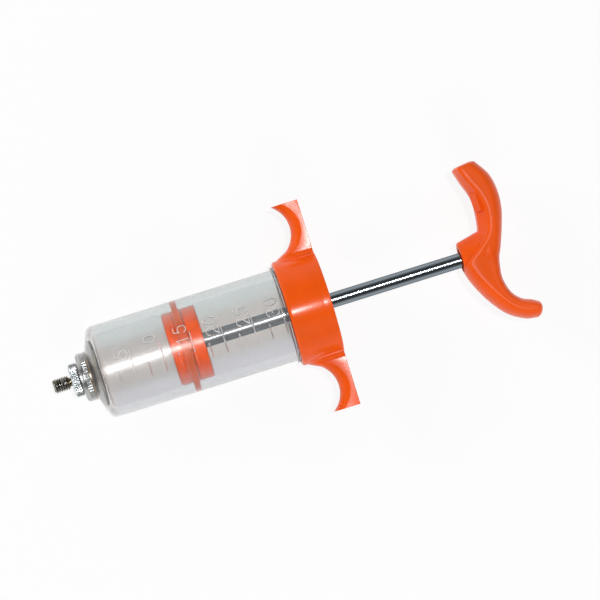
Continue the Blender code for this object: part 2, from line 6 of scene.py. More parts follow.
import bpy
from bpy.props import FloatProperty, FloatVectorProperty, IntProperty, PointerProperty
from mathutils import Matrix, Vector


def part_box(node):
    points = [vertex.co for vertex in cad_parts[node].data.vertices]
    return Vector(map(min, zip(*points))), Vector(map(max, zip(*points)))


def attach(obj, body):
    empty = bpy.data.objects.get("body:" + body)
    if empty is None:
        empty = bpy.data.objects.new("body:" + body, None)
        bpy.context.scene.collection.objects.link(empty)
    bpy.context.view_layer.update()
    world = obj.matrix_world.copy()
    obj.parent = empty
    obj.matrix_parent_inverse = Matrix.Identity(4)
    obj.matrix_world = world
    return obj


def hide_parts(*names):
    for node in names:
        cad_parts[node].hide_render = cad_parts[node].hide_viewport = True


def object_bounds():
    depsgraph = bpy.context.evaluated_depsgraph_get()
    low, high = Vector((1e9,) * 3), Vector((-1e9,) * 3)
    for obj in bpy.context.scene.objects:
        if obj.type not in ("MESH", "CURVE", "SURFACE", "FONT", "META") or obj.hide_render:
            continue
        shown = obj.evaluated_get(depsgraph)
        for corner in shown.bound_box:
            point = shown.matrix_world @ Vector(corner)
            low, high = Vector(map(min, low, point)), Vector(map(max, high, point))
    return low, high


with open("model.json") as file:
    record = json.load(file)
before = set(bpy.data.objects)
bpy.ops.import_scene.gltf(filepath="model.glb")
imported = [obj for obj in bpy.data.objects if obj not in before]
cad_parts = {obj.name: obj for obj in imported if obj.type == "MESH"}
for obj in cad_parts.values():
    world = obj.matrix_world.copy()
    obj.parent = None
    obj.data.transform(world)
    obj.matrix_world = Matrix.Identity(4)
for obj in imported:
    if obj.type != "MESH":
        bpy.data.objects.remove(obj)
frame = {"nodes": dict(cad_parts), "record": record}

bl_info = {
    "name": "Dosing syringe",
    "version": (1, 0, 0),
    "blender": (4, 5, 0),
    "location": "3D View > Sidebar > Syringe",
    "description": "Builds the finished pieces, materials and stage of a livestock dosing syringe",
    "category": "Object",
}

# Places taken from the frame. X in the profiles below is in millimetres from the floor of the bore

MM = 0.001
TURN = 2 * math.pi
CAD_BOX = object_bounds()
NOSE_TO_FLOOR = 7.4
BORE_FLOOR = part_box("barrel")[0].x / MM + NOSE_TO_FLOOR
BODY_OF = {
    node: body
    for body, nodes in frame["record"]["behaviour"]["bodies"].items()
    for node in nodes
}


def span(node):
    """Where a node of the frame starts and ends along the bore, and its widest radius."""
    low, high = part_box(node)
    return low.x / MM - BORE_FLOOR, high.x / MM - BORE_FLOOR, high.z / MM


BARREL_FRONT, BARREL_BACK, BEAD_RADIUS = span("barrel")
INSERT_FRONT, INSERT_BACK, INSERT_RADIUS = span("threaded_insert")
TIP_END, PILOT_END, HEAD_RADIUS = span("tip_connector")
DISC_FRONT, HUB_BACK, DISC_RADIUS = span("piston_front")
SEAL_FRONT, SEAL_BACK, _ = span("piston_seal")
REAR_FRONT, REAR_BACK, REAR_RADIUS = span("piston_rear")
WASHER_FRONT, _, WASHER_RADIUS = span("rod_washer")
ROD_TIP, ROD_TAIL, ROD_RADIUS = span("rod")
CAP_FRONT, CAP_BACK, CAP_RADIUS = span("cap")
GUIDE_FRONT, GUIDE_BACK, GUIDE_RADIUS = span("rod_guide")
BUSH_FRONT, BUSH_BACK, BUSH_RADIUS = span("handle_insert")
HANDLE_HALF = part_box("handle")[1].z / MM
PISTON_BUSH_RADIUS = span("piston_insert")[2]

BORE_RADIUS = 12.5
BARREL_RADIUS = 15.5
MM_PER_ML = 1000 / (math.pi * BORE_RADIUS**2)
SEAT_GAP = 0.1

# Threads. A thread that is cut into a hole starts and ends at its full height
BARREL_PITCH = 2.5
SHANK_PITCH = 1.0
TIP_PITCH = 0.8
SOFT_START = 0.5
FULL_START = 0.01
RIDGE_TOP = 1.35
RIDGE_SLOPE = 3.105


# What a user would change

def length(name, description, default):
    return FloatProperty(name=name, description=description, default=default, min=0, unit="LENGTH")


def count(name, description, default):
    return IntProperty(name=name, description=description, default=default, min=8, max=120)


def colour(name, description, default):
    return FloatVectorProperty(
        name=name, description=description, default=default, min=0, max=1, size=3, subtype="COLOR"
    )


class SyringeSizes(bpy.types.PropertyGroup):
    """Sizes of the finer forms, which the frame doesn't hold"""
    mark_width: length("Mark width", "Width of a raised scale line", 0.00044)
    mark_height: length("Mark height", "How far the scale stands out of the barrel", 0.00042)
    digit_height: length("Digit height", "Height of a number on the scale", 0.0041)
    digit_width: length("Digit width", "Width of one figure of a number", 0.0023)
    thread_height: length("Thread height", "Height of the barrel's thread", 0.0007)
    knurl_depth: length("Knurl depth", "Depth of the teeth on the metal pieces", 0.0003)
    seal_bite: length("Seal bite", "How far the soft seal is pressed into the bore", 0.00004)
    head_teeth: count("Head teeth", "Teeth round the knurled head", 40)
    insert_teeth: count("Insert teeth", "Teeth round the threaded insert", 36)


class SyringeColours(bpy.types.PropertyGroup):
    """Colours of the finishes"""
    orange: colour("Orange", "Moulded orange plastic", (0.88, 0.10, 0.006))
    clear: colour("Clear", "Tint of the clear barrel", (0.885, 0.855, 0.84))
    # The green and violet side colours are a painted reflection of coloured surroundings on the barrel's two
    # sides
    clear_green: colour("Clear, green side", "Cooler tint on the +Y side", (0.855, 0.90, 0.90))
    clear_violet: colour("Clear, violet side", "Cooler tint on the -Y side", (0.87, 0.865, 0.905))
    clear_nose: colour("Clear, nose end", "Warmer tint of the thick nose", (0.95, 0.895, 0.87))
    seal: colour("Seal", "Rubber of the piston seal", (0.88, 0.17, 0.06))
    black: colour("Black", "Rubber of the nose ring", (0.02, 0.02, 0.022))
    nylon: colour("Nylon", "Guide washer in the cap", (0.82, 0.80, 0.73))
    steel: colour("Steel", "Polished rod", (0.26, 0.3, 0.33))
    nickel: colour("Nickel", "Plating of the nose pieces", (0.67, 0.71, 0.73))
    brass: colour("Brass", "Turned brass bushes", (0.66, 0.42, 0.14))
    # This dark bronze paints shade into the valleys of the tip thread and into the connector's neck
    bronze: colour("Bronze", "Dark metal in the low places of a thread", (0.13, 0.09, 0.04))
    # This whiter colour on the scale's tops is partly a frosted finish and partly a painted highlight where
    # the flash lights them
    scale: colour("Scale", "Tops of the barrel's raised numbers", (0.93, 0.93, 0.93))
    floor: colour("Floor", "Pale floor", (0.92, 0.92, 0.92))


# Ways of making a mesh

def clear_selection():
    bpy.ops.object.select_all(action="DESELECT")


def pick(piece):
    clear_selection()
    piece.select_set(True)
    bpy.context.view_layer.objects.active = piece


def named(name):
    """The object that was just added, under its own name."""
    made = bpy.context.object
    made.name = made.data.name = name
    return made


def edit_all():
    bpy.ops.object.mode_set(mode="EDIT")
    bpy.ops.mesh.select_all(action="SELECT")


def tidy_mesh(piece):
    """Merges doubles, closes what is still open and turns the faces outwards."""
    pick(piece)
    edit_all()
    bpy.ops.mesh.remove_doubles(threshold=0.000001)
    bpy.ops.mesh.fill_holes(sides=0)
    bpy.ops.mesh.select_all(action="SELECT")
    bpy.ops.mesh.normals_make_consistent(inside=False)
    bpy.ops.object.mode_set(mode="OBJECT")


def rounded(corners, segments=6):
    """Points of an open outline through (x, radius, rounding) corners."""
    points = []
    last = len(corners) - 1
    for i, (x, y, radius) in enumerate(corners):
        here = Vector((x, y))
        if radius == 0 or i in (0, last):
            points.append((x, y))
            continue
        back = (Vector(corners[i - 1][:2]) - here).normalized()
        ahead = (Vector(corners[i + 1][:2]) - here).normalized()
        half = back.angle(ahead) / 2
        centre = here + (back + ahead).normalized() * radius / math.sin(half)
        start = here + back * radius / math.tan(half) - centre
        end = here + ahead * radius / math.tan(half) - centre
        swing = math.atan2(start.cross(end), start.dot(end))
        for k in range(segments + 1):
            turn = Matrix.Rotation(swing * k / segments, 2)
            points.append(tuple(centre + turn @ start))
    return points


def along(start, end, radius, step):
    """Profile points at one radius, close enough together to carry a thread or a smooth reflection."""
    count = max(1, round((end - start) / step))
    return [(start + (end - start) * i / count, radius) for i in range(count + 1)]


def turned(name, profile, steps):
    """Extrudes a point along (x, radius) places and spins the line round the X axis."""
    clear_selection()
    bpy.ops.mesh.primitive_plane_add(size=MM)
    piece = named(name)
    edit_all()
    bpy.ops.mesh.merge(type="CENTER")
    x, radius = profile[0]
    bpy.ops.transform.translate(value=((BORE_FLOOR + x) * MM, 0, radius * MM))
    ring = profile[0][1] > 0 and profile[-1][1] > 0
    outline = profile + profile[:1] if ring else profile
    for (x, radius), (next_x, next_radius) in zip(outline, outline[1:]):
        move = ((next_x - x) * MM, 0, (next_radius - radius) * MM)
        bpy.ops.mesh.extrude_vertices_move(TRANSFORM_OT_translate={"value": move})
    bpy.ops.mesh.select_all(action="SELECT")
    bpy.ops.mesh.spin(steps=steps, angle=TURN, center=(0, 0, 0), axis=(1, 0, 0))
    bpy.ops.object.mode_set(mode="OBJECT")
    tidy_mesh(piece)
    return piece


def lofted(name, rings):
    """Lays a grid over rows of points, closes it into a tube and fills its two ends."""
    around = len(rings[0])
    clear_selection()
    bpy.ops.mesh.primitive_grid_add(x_subdivisions=around, y_subdivisions=len(rings) - 1, size=MM)
    piece = named(name)
    points = [point for ring in rings for point in list(ring) + [ring[0]]]
    places = [value * MM for x, y, z in points for value in (BORE_FLOOR + x, y, z)]
    piece.data.vertices.foreach_set("co", places)
    tidy_mesh(piece)
    return piece


def combine(piece, other, operation):
    """Joins another shape to a piece or cuts it out, then throws the other one away."""
    pick(piece)
    bpy.ops.object.modifier_add(type="BOOLEAN")
    step = piece.modifiers[-1]
    step.operation = operation
    step.solver = "MANIFOLD"
    step.object = other
    bpy.ops.object.modifier_apply(modifier=step.name)
    bpy.data.objects.remove(other)


def wall_points(piece, start, end):
    """The vertices between two places on a turned piece's axis, with their place, radius and angle."""
    for vertex in piece.data.vertices:
        x = vertex.co.x / MM - BORE_FLOOR
        if start <= x <= end:
            radius = math.hypot(vertex.co.y, vertex.co.z) / MM
            yield vertex, x, radius, math.atan2(vertex.co.z, vertex.co.y)


def wind_thread(piece, start, end, root, height, pitch, run_out=SOFT_START):
    """Raises a right-hand thread on a turned wall between two places on its axis."""
    for vertex, x, radius, angle in wall_points(piece, start, end):
        if abs(radius - root) > 0.05:
            continue
        turn = (x / pitch - angle / TURN) % 1
        ridge = min(1, max(0, RIDGE_TOP - RIDGE_SLOPE * abs(turn - 0.5)))
        ridge *= min(1, max(0, (x - start) / (run_out * pitch)), max(0, (end - x) / (run_out * pitch)))
        grown = (root + height * ridge) / radius
        vertex.co.y *= grown
        vertex.co.z *= grown


def knurl(piece, start, end, floor, depth, teeth):
    """Presses straight, evenly rounded teeth into a turned wall."""
    for vertex, _, radius, angle in wall_points(piece, start, end):
        if radius < floor:
            continue
        pressed = (radius - depth * (0.5 - 0.5 * math.cos(angle * teeth))) / radius
        vertex.co.y *= pressed
        vertex.co.z *= pressed


def both_halves(upper):
    """A whole ring from its upper half, which starts and ends on the level plane."""
    return upper + [Vector((point.x, point.y, -point.z)) for point in reversed(upper[1:-1])]


def between(p, q, r, s, t):
    """A value on the smooth curve through p, q, r and s, a share t of the way from q to r."""
    slope = (r - p) / 2
    bend = p - 2.5 * q + 2 * r - s / 2
    twist = 1.5 * (q - r) + (s - p) / 2
    return q + slope * t + bend * t**2 + twist * t**3


def smooth_path(points, per_span):
    """A smooth row of points through the given ones, with some more between each two."""
    padded = [points[0]] + list(points) + [points[-1]]
    path = []
    for a, b, c, d in zip(padded, padded[1:], padded[2:], padded[3:]):
        for k in range(per_span):
            path.append(tuple(between(p, q, r, s, k / per_span) for p, q, r, s in zip(a, b, c, d)))
    path.append(tuple(points[-1]))
    return path


def take_over(piece, node, finish, smooth_deg=32):
    """Shades a piece, gives it its finish, and lets it stand and move for a node of the frame."""
    pick(piece)
    bpy.ops.object.shade_smooth_by_angle(angle=math.radians(smooth_deg))
    piece.data.materials.clear()
    piece.data.materials.append(finish)
    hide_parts(node)
    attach(piece, BODY_OF[node])


def dress(node, finish):
    """Gives a node that is shown as it is a better finish."""
    kept = frame["nodes"][node]
    kept.data.materials.clear()
    kept.data.materials.append(finish)


# Shading

class Nodes:
    """A node tree with short ways to add nodes and wire them."""

    def __init__(self, tree):
        self.tree = tree

    def add(self, kind, settings=None, **inputs):
        node = self.tree.nodes.new(kind)
        for key, value in (settings or {}).items():
            setattr(node, key, value)
        for key, value in inputs.items():
            self.plug(node.inputs[key.replace("_", " ")], value)
        return node

    def plug(self, socket, value):
        if isinstance(value, bpy.types.NodeSocket):
            self.tree.links.new(value, socket)
        elif socket.type == "RGBA":
            socket.default_value = (*value, 1)[:4]
        else:
            socket.default_value = value

    def maths(self, operation, *values, clamp=False):
        """A sum, product or other step with numbers, and its result."""
        node = self.add("ShaderNodeMath", {"operation": operation, "use_clamp": clamp})
        for socket, value in zip(node.inputs, values):
            self.plug(socket, value)
        return node.outputs[0]

    def spread(self, value, low, high, to_low=0.0, to_high=1.0, kind="LINEAR"):
        """A value carried from one range to another and held at its ends."""
        node = self.add("ShaderNodeMapRange", {"interpolation_type": kind}, Value=value, From_Min=low,
                        From_Max=high, To_Min=to_low, To_Max=to_high)
        return node.outputs[0]

    def noise(self, place, scale, detail, rough=0.5):
        made = self.add("ShaderNodeTexNoise", Vector=place, Scale=scale, Detail=detail, Roughness=rough)
        return made.outputs["Fac"]

    def blend(self, share, first, second):
        """A colour between two others."""
        node = self.add("ShaderNodeMix", {"data_type": "RGBA"})
        for slot, value in ((0, share), (6, first), (7, second)):
            self.plug(node.inputs[slot], value)
        return node.outputs[2]

    def either(self, share, first, second, out):
        """Shows one of two shaders, or a mix of them, on the surface."""
        mix = self.add("ShaderNodeMixShader", Fac=share)
        self.plug(mix.inputs[1], first.outputs[0])
        self.plug(mix.inputs[2], second.outputs[0])
        self.plug(out.inputs["Surface"], mix.outputs[0])


SKIN_OUTPUTS = {"Colour": "NodeSocketColor", "Roughness": "NodeSocketFloat", "Normal": "NodeSocketVector"}


def group(name, **inputs):
    """An empty shader group with named sockets: its nodes and its inputs."""
    tree = bpy.data.node_groups.new(name, "ShaderNodeTree")
    for key, default in inputs.items():
        tinted = isinstance(default, tuple)
        socket = tree.interface.new_socket(key.replace("_", " "), in_out="INPUT",
                                           socket_type="NodeSocketColor" if tinted else "NodeSocketFloat")
        socket.default_value = (*default, 1) if tinted else default
    for label, kind in SKIN_OUTPUTS.items():
        tree.interface.new_socket(label, in_out="OUTPUT", socket_type=kind)
    nodes = Nodes(tree)
    return nodes, nodes.add("NodeGroupInput").outputs


def close_group(nodes, tone, rough, height, depth):
    """Puts out a group's colour, roughness and bumped normal, and gives its tree."""
    bump = nodes.add("ShaderNodeBump", Height=height, Distance=depth)
    nodes.add("NodeGroupOutput", Colour=tone, Roughness=rough, Normal=bump.outputs[0])
    return nodes.tree


def moulded_group():
    """Moulded plastic: a slow drift of colour, a fine orange-peel skin and small rub marks."""
    nodes, given = group("moulded_skin", Colour=(0.8, 0.8, 0.8), Drift=0.08, Roughness=0.25, Rubbed=0.12,
                         Grain=0.00001)
    place = nodes.add("ShaderNodeTexCoord").outputs["Object"]
    shade = nodes.spread(nodes.noise(place, 70.0, 3.0), 0.3, 0.7, -1.0, 1.0)
    lift = nodes.maths("MULTIPLY_ADD", shade, given["Drift"], 1.0)
    tinted = nodes.add("ShaderNodeHueSaturation", Color=given["Colour"], Value=lift)
    rub_mask = nodes.spread(nodes.noise(place, 420.0, 6.0, 0.65), 0.52, 0.72)
    rough = nodes.maths("MULTIPLY_ADD", rub_mask, given["Rubbed"], given["Roughness"])
    return close_group(nodes, tinted.outputs[0], rough, nodes.noise(place, 1900.0, 2.0), given["Grain"])


def turned_metal_group():
    """Turned or drawn metal: fine lines round the X axis, stains, and a second colour in the low places where
    the stain noise allows; a dark second colour there is painted shade in the hollows.
    """
    nodes, given = group("turned_metal", Colour=(0.7, 0.7, 0.7), Low_colour=(0.5, 0.4, 0.2),
                         High_radius=0.0056, Low_depth=0.0004, Roughness=0.2, Unevenness=0.06,
                         Lines=0.000002)
    place = nodes.add("ShaderNodeTexCoord").outputs["Object"]
    parts = nodes.add("ShaderNodeSeparateXYZ", Vector=place).outputs
    across = nodes.add("ShaderNodeCombineXYZ", Y=parts["Y"], Z=parts["Z"])
    radius = nodes.add("ShaderNodeVectorMath", {"operation": "LENGTH"})
    nodes.plug(radius.inputs[0], across.outputs[0])
    depth = nodes.maths("SUBTRACT", given["High radius"], radius.outputs["Value"])
    low = nodes.maths("DIVIDE", depth, given["Low depth"], clamp=True)
    stain_mask = nodes.spread(nodes.noise(place, 900.0, 4.0), 0.32, 0.55)
    # The low places below High radius take the second colour wherever the stain noise allows. With a dark
    # colour this is painted shade, not stain
    hollow_stain_and_shade_mask = nodes.maths("MULTIPLY", low, stain_mask, clamp=True)
    mixed = nodes.blend(hollow_stain_and_shade_mask, given["Colour"], given["Low colour"])
    stretch = nodes.add("ShaderNodeMapping", Vector=place, Scale=(3000.0, 60.0, 60.0))
    lines = nodes.noise(stretch.outputs[0], 1.0, 2.0)
    rough = nodes.maths("MULTIPLY_ADD", lines, given["Unevenness"], given["Roughness"])
    return close_group(nodes, mixed, rough, lines, given["Lines"])


def new_finish(name):
    """A material with its own shader: its nodes, the shader and the output."""
    made = bpy.data.materials.new(name)
    made.use_nodes = True
    nodes = Nodes(made.node_tree)
    return made, nodes, made.node_tree.nodes["Principled BSDF"], made.node_tree.nodes["Material Output"]


def put_on(nodes, shader, skin_name, make_skin, bumped=True, **values):
    """Feeds a shader from a shared group, which is made once, with or without its normal."""
    tree = bpy.data.node_groups.get(skin_name) or make_skin()
    skin = nodes.add("ShaderNodeGroup", {"node_tree": tree}, **values).outputs
    nodes.plug(shader.inputs["Base Color"], skin["Colour"])
    nodes.plug(shader.inputs["Roughness"], skin["Roughness"])
    if bumped:
        nodes.plug(shader.inputs["Normal"], skin["Normal"])


def set_plain(shader, plain):
    """Sets constant values on a shader's own sockets."""
    for key, value in plain.items():
        shader.inputs[key.replace("_", " ")].default_value = value


def moulded(name, tint, roughness, rubbed=0.12, grain=0.000004, **plain):
    """A finish of moulded plastic or rubber."""
    made, nodes, shader, _ = new_finish(name)
    put_on(nodes, shader, "moulded_skin", moulded_group,
           Colour=tint, Roughness=roughness, Drift=0.06, Rubbed=rubbed, Grain=grain)
    set_plain(shader, plain)
    return made


def metal(name, tint, low_tint, high_radius, low_depth, roughness, uneven=0.06, lines=0.000001, **plain):
    """A finish of turned or plated metal."""
    made, nodes, shader, _ = new_finish(name)
    put_on(nodes, shader, "turned_metal", turned_metal_group,
           Colour=tint, Low_colour=low_tint, High_radius=high_radius, Low_depth=low_depth,
           Roughness=roughness, Unevenness=uneven, Lines=lines)
    set_plain(shader, {"Metallic": 1.0, **plain})
    return made


# Where each tint of the clear plastic starts and is full, in metres along one axis. The green and violet side
# tints are a painted reflection of coloured surroundings
PAINTED_REFLECTION_SIDES = (0.004, 0.0125)
NOSE_TINT = ((BORE_FLOOR + 2.5) * MM, (BORE_FLOOR - 1.5) * MM)

# Behind the piston the coat is thinner: where it starts to change, where it is thin, and how thin
COAT_CHANGE = ((BORE_FLOOR + DISC_FRONT - 2) * MM, (BORE_FLOOR + REAR_BACK) * MM)
THIN_COAT = 0.35

ABSORBED_COLOUR = (0.5, 0.54, 0.53)
ABSORBED_DENSITY = 74.0


def clear_plastic(colours):
    """Clear moulded plastic, which lets the light of the lamps through to what it holds. Its +Y side is
    tinted green and its -Y side violet: a painted reflection of coloured surroundings.
    """
    made, nodes, shader, out = new_finish("clear_plastic")
    place = nodes.add("ShaderNodeTexCoord").outputs["Object"]
    places = nodes.add("ShaderNodeSeparateXYZ", Vector=place).outputs
    tone = colours.clear
    # The green and violet tints paint a reflection of coloured surroundings onto the barrel's +Y and -Y sides
    for axis, (start, end), tint in (
        ("Y", PAINTED_REFLECTION_SIDES, colours.clear_green),
        ("Y", (-PAINTED_REFLECTION_SIDES[0], -PAINTED_REFLECTION_SIDES[1]), colours.clear_violet),
        ("X", NOSE_TINT, colours.clear_nose),
    ):
        tone = nodes.blend(nodes.spread(places[axis], start, end, kind="SMOOTHSTEP"), tone, tint)
    put_on(nodes, shader, "moulded_skin", moulded_group,
           Colour=tone, Roughness=0.02, Drift=0.02, Rubbed=0.05, Grain=0.0000006)
    set_plain(shader, {"Transmission Weight": 0.985, "IOR": 1.53, "Coat Roughness": 0.27, "Coat IOR": 1.55,
                       "Specular IOR Level": 0.3})
    coat = nodes.spread(places["X"], *COAT_CHANGE, 1.0, THIN_COAT, "SMOOTHSTEP")
    nodes.plug(shader.inputs["Coat Weight"], coat)
    path = nodes.add("ShaderNodeLightPath")
    through = nodes.add("ShaderNodeBsdfTransparent", Color=(0.98, 0.98, 0.98))
    nodes.either(path.outputs["Is Shadow Ray"], shader, through, out)
    depth = nodes.add("ShaderNodeVolumeAbsorption", Color=ABSORBED_COLOUR, Density=ABSORBED_DENSITY)
    nodes.plug(out.inputs["Volume"], depth.outputs[0])
    return made


# Scale on the barrel

DOSE_ML = 30
MARK_ML = 2.5
NUMBERED_ML = 5
MARK_START_DEG = 112.0
SHORT_END_DEG = 95.0
LONG_END_DEG = 75.0
DIGIT_BASE = 0.8
DIGIT_STARTS = {1: (2.4,), 2: (0.95, 4.6)}
# The arc round the wall, in millimetres, over which the scale's tops are whitened: a painted highlight where
# the flash lights the marks
PAINTED_HIGHLIGHT_ARC = (-2.2, 7.3)

# Each figure as strokes in a box one wide and one high, read with its foot at v = 0
FIGURES = {
    "0": [[(0.5, 0), (0.85, 0.12), (1, 0.5), (0.85, 0.88), (0.5, 1), (0.15, 0.88), (0, 0.5),
           (0.15, 0.12), (0.5, 0)]],
    "1": [[(0.25, 0.78), (0.42, 0.87), (0.55, 1)], [(0.55, 1), (0.55, 0)]],
    "2": [[(0.02, 0.76), (0.14, 0.94), (0.5, 1), (0.86, 0.93), (0.95, 0.73), (0.8, 0.48), (0.35, 0.24),
           (0, 0)], [(0, 0), (0.98, 0)]],
    "3": [[(0.03, 0.82), (0.2, 0.97), (0.5, 1), (0.82, 0.93), (0.9, 0.75), (0.78, 0.58), (0.45, 0.53)],
          [(0.45, 0.53), (0.82, 0.47), (0.97, 0.27), (0.85, 0.07), (0.5, 0), (0.18, 0.03), (0, 0.2)]],
    "5": [[(0.9, 1), (0.2, 1)], [(0.2, 1), (0.08, 0.55)],
          [(0.08, 0.55), (0.3, 0.64), (0.6, 0.64), (0.9, 0.53), (0.99, 0.32), (0.88, 0.09), (0.5, 0),
           (0.17, 0.03), (0, 0.2)]],
}


def on_wall(x, arc):
    """A place on the barrel's wall, from a place along the bore and a distance round the wall."""
    angle = math.pi / 2 - arc / BARREL_RADIUS
    return Vector((x, BARREL_RADIUS * math.cos(angle), BARREL_RADIUS * math.sin(angle)))


def stroke(name, path, width, height):
    """A raised line on the barrel's wall along (x, arc) points, rounded on top and half sunk."""
    places = [on_wall(x, arc) for x, arc in path]
    loop = (places[0] - places[-1]).length < 0.01
    rings = []
    last = len(places) - 1
    for i, place in enumerate(places):
        if loop:
            ahead = (places[(i + 1) % last] - places[(i - 1) % last]).normalized()
        else:
            ahead = (places[min(i + 1, last)] - places[max(i - 1, 0)]).normalized()
        out = Vector((0, place.y, place.z)).normalized()
        side = ahead.cross(out).normalized()
        ring = [
            place + side * math.cos(TURN * k / 8) * width / 2 + out * math.sin(TURN * k / 8) * height
            for k in range(8)
        ]
        if i in (0, last) and not loop:
            away = ahead * (-1 if i == 0 else 1)
            round_end = [
                [place + (point - place) * math.cos(step) + away * math.sin(step) * width / 2
                 for point in ring]
                for step in (0, 0.6, 1.2)
            ]
            rings += reversed(round_end) if i == 0 else round_end
        else:
            rings.append(ring)
    return lofted(name, rings)


def scale_strokes(sizes):
    """Every line and figure of the scale, as (x, arc) paths."""
    paths = []
    for i in range(1, round(DOSE_ML / MARK_ML) + 1):
        dose = i * MARK_ML
        x = dose * MM_PER_ML
        numbered = dose % NUMBERED_ML == 0
        ends = (MARK_START_DEG, LONG_END_DEG if numbered else SHORT_END_DEG)
        start, end = ((90 - degrees) * math.pi / 180 * BARREL_RADIUS for degrees in ends)
        paths.append([(x, start + (end - start) * k / 12) for k in range(13)])
        if not numbered:
            continue
        text = str(round(dose))
        for figure, first in zip(text, DIGIT_STARTS[len(text)]):
            for line in FIGURES[figure]:
                paths.append([
                    (x - DIGIT_BASE - v * sizes.digit_height / MM, first + u * sizes.digit_width / MM)
                    for u, v in smooth_path(line, 4)
                ])
    return paths


def frost_scale(barrel, sizes, finish):
    """Gives the tops of the raised numbers, and of the marks beside them, a whiter frosted finish than the
    wall, only over the arc where the flash lights them: partly a painted highlight.
    """
    barrel.data.materials.append(finish)
    top = BARREL_RADIUS + 0.6 * sizes.mark_height / MM
    for face in barrel.data.polygons:
        x = face.center.x / MM - BORE_FLOOR
        radius = math.hypot(face.center.y, face.center.z) / MM
        arc = math.atan2(face.center.y, face.center.z) * BARREL_RADIUS
        if x < CAP_FRONT - 1.5 and radius > top and PAINTED_HIGHLIGHT_ARC[0] < arc < PAINTED_HIGHLIGHT_ARC[1]:
            face.material_index = 1


# Pieces

def settings(context):
    return context.scene.syringe_sizes, context.scene.syringe_colours


BOSS_RADIUS = 8.15
OUTLET_RADIUS = 1.2
BEAD_WIDTH = 0.8
BEAD_ROUND = 0.3


class SYRINGE_OT_barrel(bpy.types.Operator):
    """Spins the clear barrel, winds its thread and raises the scale on it"""
    bl_idname = "syringe.barrel"
    bl_label = "Clear barrel"

    def execute(self, context):
        sizes, colours = settings(context)
        bead_end = CAP_FRONT - 0.3
        bead_start = bead_end - BEAD_WIDTH
        root = BARREL_RADIUS + 0.1
        thread_start, thread_end = bead_end + 0.1, BARREL_BACK - 0.1
        outside = rounded([
            (BARREL_FRONT, INSERT_RADIUS + SEAT_GAP, 0),
            (BARREL_FRONT, BOSS_RADIUS, 1.2),
            (-3.8, BOSS_RADIUS, 0.5),
            (-1.1, BARREL_RADIUS, 2.5),
            (2.0, BARREL_RADIUS, 0),
        ], 8)
        outside += along(2.0, bead_start, BARREL_RADIUS, 1.0)[1:]
        outside += rounded([
            (bead_start, BARREL_RADIUS, 0),
            (bead_start, BEAD_RADIUS, BEAD_ROUND),
            (bead_end, BEAD_RADIUS, BEAD_ROUND),
            (bead_end, root, 0),
        ])[1:]
        outside += along(thread_start, thread_end, root, 0.25)
        inside = rounded([
            (BARREL_BACK, root, 0),
            (BARREL_BACK, BORE_RADIUS, 0.2),
            (0.8, BORE_RADIUS, 0),
        ])
        inside += rounded([
            (4.0, BORE_RADIUS, 0),
            (0, BORE_RADIUS, 0.8),
            (0, OUTLET_RADIUS, 0),
            (INSERT_BACK - 0.1, OUTLET_RADIUS, 0),
            (INSERT_BACK - 0.1, 4.4, 0),
            (INSERT_FRONT + 0.05, 4.4, 0),
            (INSERT_FRONT + 0.05, INSERT_RADIUS + SEAT_GAP, 0),
        ], 8)[1:]
        barrel = turned("clear_barrel", outside + inside, 256)
        wind_thread(barrel, thread_start, thread_end, root, sizes.thread_height / MM, BARREL_PITCH)
        for path in scale_strokes(sizes):
            line = stroke("scale_line", path, sizes.mark_width / MM, sizes.mark_height / MM)
            combine(barrel, line, "UNION")
        take_over(barrel, "barrel", clear_plastic(colours), 25)
        # The whiter frosted tops paint the flash's highlight onto the scale
        frost_and_highlight = moulded("raised_scale_painted_highlight", colours.scale, 0.4, grain=0.00001, Transmission_Weight=0.5)
        frost_scale(barrel, sizes, frost_and_highlight)
        return {"FINISHED"}


class SYRINGE_OT_insert(bpy.types.Operator):
    """Turns the knurled, plated insert that is moulded into the nose"""
    bl_idname = "syringe.insert"
    bl_label = "Threaded insert"

    def execute(self, context):
        sizes, colours = settings(context)
        teeth = sizes.insert_teeth
        collar_back, groove_front, foot_front = -5.95, -4.25, -2.85
        groove = INSERT_RADIUS - 0.75
        thread_end, thread_root = -3.7, 3.1
        insert = turned("nose_insert", [
            (INSERT_FRONT, 3.3), (INSERT_FRONT, INSERT_RADIUS - 0.3),
            (INSERT_FRONT + 0.3, INSERT_RADIUS - 0.05), (collar_back, INSERT_RADIUS - 0.05),
            (collar_back + 0.05, INSERT_RADIUS - 0.45), (collar_back + 0.15, INSERT_RADIUS - 0.45),
            (collar_back + 0.2, INSERT_RADIUS), (groove_front - 0.1, INSERT_RADIUS),
            (groove_front, groove + 0.1), (groove_front + 0.1, groove),
            (foot_front - 0.1, groove), (foot_front, groove + 0.1),
            (foot_front + 0.1, INSERT_RADIUS), (INSERT_BACK - 0.3, INSERT_RADIUS),
            (INSERT_BACK, INSERT_RADIUS - 0.3), (INSERT_BACK, 2.6),
            (thread_end, 2.6),
            *reversed(along(INSERT_FRONT + 0.1, thread_end, thread_root, 0.1)),
        ], teeth * 8)
        knurl(insert, collar_back + 0.17, groove_front - 0.08, INSERT_RADIUS - 0.02,
              sizes.knurl_depth / MM, teeth)
        wind_thread(insert, INSERT_FRONT + 0.1, thread_end, thread_root, 0.35, SHANK_PITCH, FULL_START)
        finish = metal("insert_plating", colours.nickel, colours.brass, 0.00545, 0.0005, 0.25)
        take_over(insert, "threaded_insert", finish, 40)
        return {"FINISHED"}


